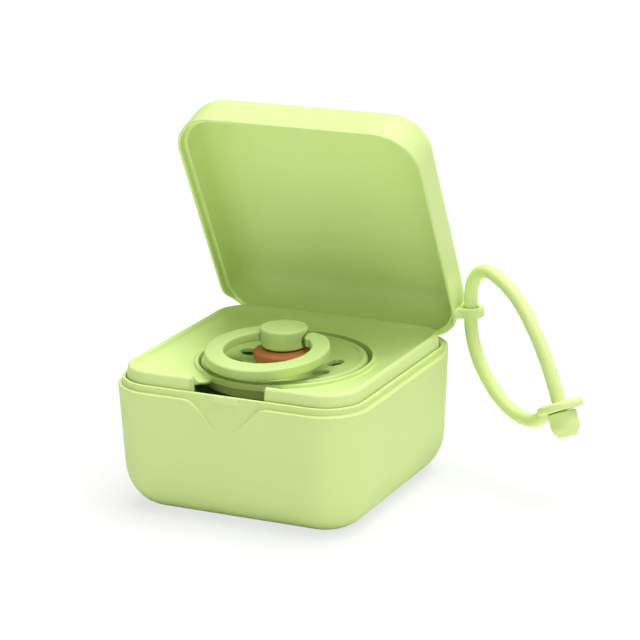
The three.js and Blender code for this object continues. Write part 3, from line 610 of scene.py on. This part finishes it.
for k, turn in enumerate(quarter_turn):
    inset = lid_wall + lid_draft + lid_hollow_fillet * (1 - math.sin(turn))
    height = lid_inside - lid_hollow_fillet * (1 - math.cos(turn))
    lid.ring(lambda v: lid.inside(v, inset, height), first=k == 0)
for inset, height in ((2.35, 39.6), (2.3, 39.1), (2.26, 38.88), (2.16, 38.78), (2.0, 38.75)):
    lid.ring(lambda v: lid.inside(v, inset * mm, height * mm))
for inset, rise, rear_inset in ((1.12, 2.0, 1.3), (1.0, 1.85, 1.1), (1.0, 0.3, 0.9), (0.92, 0.1, 0.8),
                                (0.75, 0, 0.65)):
    lid.ring(skirt_ring(inset * mm, rise * mm, rear_inset * mm, True))
for inset, rise in ((0.3, 0), (0.15, 0.04), (0.05, 0.14), (0.02, 0.3)):
    lid.ring(skirt_ring(inset * mm, rise * mm, inset * mm, False))
lid.ring(lambda v: lid.inside(v, 0.22 * mm, 39.5 * mm))
for turn in [math.pi / 2 * k / 10 for k in range(11)]:
    inset = lid_draft + lid_fillet * (1 - math.cos(turn))
    height = lid_foot_height + lid_fillet * math.sin(turn)
    lid.ring(lambda v: lid.inside(v, inset, height))
lid_form = lid.close()

latch_room = bmesh.new()
slab_along_x(latch_room, [(-38.6 * mm, 34 * mm), (-36.8 * mm, 34 * mm), (-36.8 * mm, lid_seat),
                          (-38.6 * mm, lid_seat)], -4.5 * mm, 4.5 * mm)
lid_form = cut_away(lid_form, latch_room)
for start, end in lid_barrels:
    rod_along_x(lid_form, barrel_radius, start * mm, end * mm, hinge_y, hinge_z, soft=barrel_round)
    slab_along_x(lid_form, [(36.75 * mm, 36.0 * mm), (39.1 * mm, 36.0 * mm), (39.0 * mm, 41.0 * mm),
                            (36.8 * mm, 41.0 * mm)], (start + 0.2) * mm, (end - 0.2) * mm)
lid_turn = (Matrix.Translation((0, hinge_y, hinge_z)) @ Matrix.Rotation(math.radians(-lid_open), 4, "X")
            @ Matrix.Translation((0, -hinge_y, -hinge_z)))
lid_form.transform(lid_turn)

ear = bmesh.new()
ear_tip = [(ear_radius * math.sin(a), -ear_radius * math.cos(a))
           for a in [math.pi * k / 20 for k in range(21)]]
ear_plan = ear_tip + ear_root + ear_cut_back + [(x, -y) for x, y in ear_root[-2::-1]]
ear_face = ear.faces.new([ear.verts.new((x * mm, y * mm, -ear_thickness / 2 * mm)) for x, y in ear_plan])
ear_rise = bmesh.ops.extrude_face_region(ear, geom=[ear_face])["geom"]
bmesh.ops.translate(ear, vec=(0, 0, ear_thickness * mm),
                    verts=[g for g in ear_rise if isinstance(g, bmesh.types.BMVert)])
bmesh.ops.recalc_face_normals(ear, faces=ear.faces)
ear_bore = bmesh.new()
bmesh.ops.create_cone(ear_bore, cap_ends=True, segments=40, radius1=ear_hole_radius * mm,
                      radius2=ear_hole_radius * mm, depth=8 * mm)
ear = cut_away(ear, ear_bore)
ear_edges = [e for e in ear.edges
             if abs(e.verts[0].co.z - e.verts[1].co.z) < 1e-7 and e.calc_face_angle() > 0.5]
bmesh.ops.bevel(ear, geom=ear_edges, offset=0.5 * mm, segments=4, profile=0.5, affect="EDGES", material=-1)
ear.transform(Matrix.Translation(ear_hole))
ear_mesh = bpy.data.meshes.new("ear")
ear.to_mesh(ear_mesh)
ear.free()
lid_form.from_mesh(ear_mesh)

lid_piece = finished_piece(lid_form, "lid", shell_plastic, "lid", even=True)
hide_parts("lid_shell")


# Hinge pin. A straight drawn steel pin, pressed into the base's end barrels. The barrels hide it, so the node
# keeps its own mesh and takes a drawn steel finish.
pin_steel = bpy.data.materials.new("pin_steel")
pin_steel.use_nodes = True
pin_shader = pin_steel.node_tree.nodes["Principled BSDF"]
pin_shader.inputs["Metallic"].default_value = 1
pin_place = pin_steel.node_tree.nodes.new("ShaderNodeTexCoord")
pin_stretch = pin_steel.node_tree.nodes.new("ShaderNodeMapping")
pin_stretch.inputs["Scale"].default_value = (40, 2500, 2500)
pin_draw = pin_steel.node_tree.nodes.new("ShaderNodeTexNoise")
pin_tone = pin_steel.node_tree.nodes.new("ShaderNodeValToRGB")
pin_tone.color_ramp.elements[0].color = (0.5, 0.51, 0.52, 1)
pin_tone.color_ramp.elements[1].color = (0.62, 0.63, 0.64, 1)
pin_rough = pin_steel.node_tree.nodes.new("ShaderNodeMapRange")
pin_rough.inputs["To Min"].default_value, pin_rough.inputs["To Max"].default_value = 0.28, 0.42
pin_link = pin_steel.node_tree.links.new
pin_link(pin_place.outputs["Object"], pin_stretch.inputs["Vector"])
pin_link(pin_stretch.outputs["Vector"], pin_draw.inputs["Vector"])
pin_link(pin_draw.outputs["Fac"], pin_tone.inputs["Fac"])
pin_link(pin_tone.outputs["Color"], pin_shader.inputs["Base Color"])
pin_link(pin_draw.outputs["Fac"], pin_rough.inputs["Value"])
pin_link(pin_rough.outputs["Result"], pin_shader.inputs["Roughness"])
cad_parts["hinge_pin"].data.materials.clear()
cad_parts["hinge_pin"].data.materials.append(pin_steel)


# Pacifier shield. A round polypropylene plate, dished so that its edge stands away from the mouth, with a thick
# round bead at the edge and four round vents. It rests on the well's floor round the hole.
pacifier_green = (0.60, 0.76, 0.29, 1)
plate_top, plate_wall, plate_hub, plate_edge, plate_dish = 36.8, 1.1, 9.2, 21.9, 1.8
vent_radius, vent_places = 2.6, [(13.9, 4.9), (13.9, -4.9), (-13.9, 4.9), (-13.9, -4.9)]
shield_bore, plate_curve = 7.0, 1.4
lie = Matrix.Translation((-0.35 * mm, 0, 0))


def plate_height(radius):
    return plate_top + plate_dish * (max(radius - plate_hub, 0) / (plate_edge - plate_hub)) ** plate_curve


shield = bmesh.new()
plate_radii = [9.2, 10.4, 12.0, 14.0, 16.0, 18.0, 20.0, 21.2]
edge_bead = [(21.9, 38.6, 0.3), (22.35, 38.95, 0.4), (23.2, 39.12, 0.8), (24.2, 38.75, 0.9), (24.2, 37.1, 0.9),
             (23.1, 36.85, 0.5), (21.9, 37.1, 0.4)]
turned(shield, [p * mm for p in rounded(
    [(shield_bore, plate_top - plate_wall, 0), (shield_bore, plate_top, 0.25)]
    + [(r, plate_height(r), 0) for r in plate_radii] + edge_bead
    + [(r, plate_height(r) - plate_wall, 0) for r in reversed(plate_radii)]
    + [(shield_bore, plate_top - plate_wall, 0)], 4)], 96)
vents = bmesh.new()
for x, y in vent_places:
    vent = bmesh.ops.create_cone(vents, cap_ends=True, segments=48, radius1=vent_radius * mm,
                                 radius2=vent_radius * mm, depth=8 * mm)["verts"]
    bmesh.ops.translate(vents, vec=(x * mm, y * mm, 37 * mm), verts=vent)
shield = cut_away(shield, vents)
vent_edges = [e for e in shield.edges if all(v.co.z > 36.6 * mm and any(
    abs((v.co.xy - Vector(p) * mm).length - vent_radius * mm) < 1e-6 for p in vent_places) for v in e.verts)
    and e.calc_face_angle() > 0.8]
bmesh.ops.bevel(shield, geom=vent_edges, offset=0.25 * mm, segments=3, profile=0.5, affect="EDGES",
                material=-1)
shield.transform(lie)
pacifier_plastic = moulded_finish("pacifier_plastic", pacifier_green, 0.42, 0.3 * mm, 0.006 * mm, 0.012)
shield_piece = finished_piece(shield, "shield", pacifier_plastic, "pacifier", even=True)
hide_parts("pacifier_shield")


# Nipple. One hollow natural-rubber moulding in brown, buttoned through the shield: the collar shows above it and
# the round teat hangs in the well's hole.
rubber_brown = (0.47, 0.155, 0.05, 1)
teat_middle, teat_radius, teat_bore = 18.1, 8.6, 7.3
nipple = bmesh.new()
teat_sweep = [math.radians(135) * k / 18 for k in range(19)]
teat, hollow = [[Vector((r * math.sin(a), teat_middle - r * math.cos(a))) for a in teat_sweep]
                for r in (teat_radius, teat_bore)]
turned(nipple, [p * mm for p in teat + rounded([
    (*teat[-1], 0), (5.2, 28.6, 2.0), (6.7, 33.9, 0.4), (8.6, 33.9, 0.4), (8.6, 35.2, 0.4), (6.7, 35.2, 0),
    (6.7, 36.9, 0), (8.0, 36.9, 0.3), (9.2, 41.0, 0.7), (6.4, 42.05, 0.4), (4.4, 42.05, 0), (4.4, 36.05, 0),
    (5.4, 36.05, 0), (5.4, 34.1, 0.3), (3.9, 28.6, 1.5), (*hollow[-1], 0)], 5) + hollow[::-1]], 64)
nipple.transform(lie)
rubber = moulded_finish("natural_rubber", rubber_brown, 0.45, 0.5 * mm, 0.006 * mm, 0.05, soft=0.15)
nipple_piece = finished_piece(nipple, "nipple", rubber, "pacifier")
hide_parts("pacifier_nipple")


# Inner plug. The flanged cup inside the collar that clamps the rubber and takes the knob's stem. It is out of
# sight, so the node keeps its own mesh and takes the pacifier's plastic.
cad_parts["nipple_plug"].data.materials.clear()
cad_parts["nipple_plug"].data.materials.append(pacifier_plastic)


# Knob. The round plug on top, moulded with a stem that snaps into the inner plug. A notch in each side, round in
# front and open behind, takes an end of the ring handle, and a socket in the notch holds its boss.
pivot_y, pivot_z = 2.8907, 44.65
notch_y, notch_z, notch_radius, notch_depth, socket_radius = 0.25, 44.8, 2.15, 4.9, 1.65
knob = bmesh.new()
turned(knob, [p * mm for p in rounded([
    (0, 37.2, 0), (2.4, 37.2, 0.2), (2.4, 43.05, 0), (4.4, 43.05, 0), (4.4, 42.35, 0), (6.55, 42.35, 0.95),
    (6.95, 47.2, 0), (6.98, 48.3, 0.65), (5.6, 48.24, 0), (0, 48.1, 0)], 5)], 96)
for side in (-1, 1):
    notch, socket = bmesh.new(), bmesh.new()
    notch_front = [math.pi * (k / 16 + 0.5) for k in range(17)]
    notch_outline = [((notch_y + notch_radius * math.cos(a)) * mm,
                      (notch_z + notch_radius * math.sin(a)) * mm) for a in notch_front]
    notch_outline += [(8 * mm, 42.65 * mm), (8 * mm, 46.95 * mm)]
    slab_along_x(notch, notch_outline, *sorted((side * notch_depth * mm, side * 9 * mm)))
    rod_along_x(socket, socket_radius * mm, *sorted((side * 2.8 * mm, side * 5.5 * mm)),
                pivot_y * mm, pivot_z * mm)
    knob = cut_away(cut_away(knob, notch), socket)
knob.transform(lie)
knob_piece = finished_piece(knob, "knob", pacifier_plastic, "pacifier", even=True)
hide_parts("pacifier_knob")


# Ring handle. A flat bar moulded as an open ring, deeper and wider at its front. Its two ends curl in to the
# knob, swell a little and end round, and each carries a short boss that turns in the knob's socket.
hoop_radius, curl_radius, bar_width, bar_thickness = 15.3, 4.2, 5.4, 2.8
hoop_middle = Vector((0, -math.sqrt(hoop_radius ** 2 - 7.1 ** 2), 0))
curl_start = math.radians(46.7)
curl_way = Vector((math.cos(curl_start), math.sin(curl_start), 0))
curl_middle = hoop_middle + curl_way * (hoop_radius - curl_radius)
end_swell, end_round, end_face = 0.08, 1.6, 6.7
boss_radius, boss_start, boss_end = 1.4, 3.1, 8.2
front_depth, front_width, handle_tilt = 0.36, 1.0, 3.7
handle = bmesh.new()
bar = bmesh.ops.create_grid(handle, x_segments=1, y_segments=1, size=0.5)["verts"]
bmesh.ops.scale(handle, vec=(bar_width, bar_thickness, 1), verts=bar)
bmesh.ops.bevel(handle, geom=handle.verts[:], offset=0.6, segments=5, profile=0.5, affect="VERTICES",
                material=-1)
bmesh.ops.delete(handle, geom=handle.faces[:], context="FACES_ONLY")
bmesh.ops.rotate(handle, cent=(0, 0, 0), matrix=Matrix.Rotation(math.pi / 2, 3, "Z")
                 @ Matrix.Rotation(math.pi / 2, 3, "X"), verts=handle.verts)
bmesh.ops.translate(handle, vec=hoop_middle - Vector((0, hoop_radius, 0)), verts=handle.verts)
front_end = bmesh.ops.spin(handle, geom=handle.edges[:] + handle.verts[:], cent=hoop_middle, axis=(0, 0, 1),
                           angle=math.pi / 2 + curl_start, steps=60, use_duplicate=False)["geom_last"]
known = set(handle.verts)
front_end = bmesh.ops.spin(handle, geom=front_end, cent=curl_middle, axis=(0, 0, 1),
                           angle=math.pi / 2 - curl_start, steps=12, use_duplicate=False)["geom_last"]
for v in handle.verts:
    if v not in known:
        way = Vector((v.co.x, v.co.y, 0)) - curl_middle
        share = (math.atan2(way.y, way.x) - curl_start) / (math.pi / 2 - curl_start)
        v.co += way.normalized() * (way.length - curl_radius) * end_swell * share
end_middle, round_start = curl_middle.y + curl_radius, end_face + end_round
for turn in [math.radians(a) for a in (35, 50, 65, 80, 90)]:
    rim = [g for g in front_end if isinstance(g, bmesh.types.BMEdge)]
    front_end = bmesh.ops.extrude_edge_only(handle, edges=rim)["geom"]
    for v in [g for g in front_end if isinstance(g, bmesh.types.BMVert)]:
        half = bar_width / 2 * (1 + end_swell)
        v.co.x = round_start - end_round * math.sin(turn)
        reach = half - end_round * (1 - math.cos(turn))
        v.co.y = end_middle + (v.co.y - end_middle) * reach / max(abs(v.co.y - end_middle), reach)
    front_end = [g for g in front_end if isinstance(g, bmesh.types.BMEdge)
                 and all(abs(v.co.x - round_start + end_round * math.sin(turn)) < 1e-6 for v in g.verts)]
bmesh.ops.edgeloop_fill(handle, edges=front_end)
bmesh.ops.mirror(handle, geom=handle.verts[:] + handle.edges[:] + handle.faces[:], matrix=Matrix.Identity(4),
                 merge_dist=0.001, axis="X")
bmesh.ops.recalc_face_normals(handle, faces=handle.faces)
for side in (-1, 1):
    rod_along_x(handle, boss_radius, *sorted((side * boss_start, side * boss_end)), 0, 0, segments=32,
                soft=0.3)
for v in handle.verts:
    way = v.co.xy - hoop_middle.xy
    ahead = max(-way.normalized().y, 0) ** 2
    if v.co.z < 0:
        v.co.z *= 1 + front_depth * ahead ** 0.25
    v.co.y -= front_width * ahead * ((way.length - hoop_radius) / bar_width + 0.5)
handle.transform(lie @ Matrix.Translation((0, pivot_y * mm, pivot_z * mm))
                 @ Matrix.Rotation(math.radians(handle_tilt), 4, "X") @ Matrix.Scale(mm, 4))
ring_piece = finished_piece(handle, "ring_handle", pacifier_plastic, "ring")
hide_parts("pacifier_ring")


# Studio. A pale floor that keeps the shadow, and a surround that the camera sees white, lit evenly by broad soft
# lamps from above, from the right and from the front.
floor_grey, floor_glow_share, surround_strength = 0.86, 0.7, 0.06
floor_mesh = bpy.data.meshes.new("floor")
floor_form = bmesh.new()
bmesh.ops.create_grid(floor_form, x_segments=8, y_segments=8, size=3)
floor_form.to_mesh(floor_mesh)
floor_form.free()
floor = bpy.data.objects.new("floor", floor_mesh)
floor.location.z = -0.02 * mm
bpy.context.scene.collection.objects.link(floor)
floor_paper = bpy.data.materials.new("floor_paper")
floor_paper.use_nodes = True
paper_nodes, paper_links = floor_paper.node_tree.nodes, floor_paper.node_tree.links
paper = paper_nodes["Principled BSDF"]
paper.inputs["Base Color"].default_value = (floor_grey, floor_grey, floor_grey, 1)
paper.inputs["Roughness"].default_value = 0.9
paper.inputs["Specular IOR Level"].default_value = 0.1
paper_glow = paper_nodes.new("ShaderNodeEmission")
paper_glow.inputs["Strength"].default_value = 1.0
paper_path = paper_nodes.new("ShaderNodeLightPath")
paper_share = paper_nodes.new("ShaderNodeMath")
paper_share.operation = "MULTIPLY"
paper_share.inputs[1].default_value = floor_glow_share
paper_mix = paper_nodes.new("ShaderNodeMixShader")
paper_links.new(paper_path.outputs["Is Camera Ray"], paper_share.inputs[0])
paper_links.new(paper_share.outputs[0], paper_mix.inputs["Fac"])
paper_links.new(paper.outputs["BSDF"], paper_mix.inputs[1])
paper_links.new(paper_glow.outputs["Emission"], paper_mix.inputs[2])
paper_links.new(paper_mix.outputs["Shader"], paper_nodes["Material Output"].inputs["Surface"])
floor_mesh.materials.append(floor_paper)

world = bpy.data.worlds.new("surround")
bpy.context.scene.world = world
world.use_nodes = True
world_nodes, world_links = world.node_tree.nodes, world.node_tree.links
surround = world_nodes["Background"]
surround.inputs["Color"].default_value = (1, 1, 1, 1)
surround.inputs["Strength"].default_value = surround_strength
backdrop = world_nodes.new("ShaderNodeBackground")
backdrop.inputs["Color"].default_value = (1, 1, 1, 1)
backdrop.inputs["Strength"].default_value = 1.0
world_path = world_nodes.new("ShaderNodeLightPath")
world_mix = world_nodes.new("ShaderNodeMixShader")
world_links.new(world_path.outputs["Is Camera Ray"], world_mix.inputs["Fac"])
world_links.new(surround.outputs["Background"], world_mix.inputs[1])
world_links.new(backdrop.outputs["Background"], world_mix.inputs[2])
world_links.new(world_mix.outputs["Shader"], world_nodes["World Output"].inputs["Surface"])


def soft_lamp(name, turn, height, spread, strength):
    """A broad far lamp at a turn from the front towards the right and a height above the level."""
    lamp = bpy.data.lights.new(name, "SUN")
    lamp.angle, lamp.energy = math.radians(spread), strength
    holder = bpy.data.objects.new(name, lamp)
    side, rise = math.radians(turn), math.radians(height)
    towards = Vector((math.sin(side) * math.cos(rise), -math.cos(side) * math.cos(rise), math.sin(rise)))
    holder.rotation_mode = "QUATERNION"
    holder.rotation_quaternion = towards.to_track_quat("Z", "Y")
    bpy.context.scene.collection.objects.link(holder)


soft_lamp("overhead_lamp", 180, 74, 52, 2.9)
soft_lamp("right_lamp", 88, 62, 50, 1.4)
soft_lamp("front_lamp", 10, 16, 60, 0.78)

bpy.context.scene.view_settings.view_transform = "Standard"
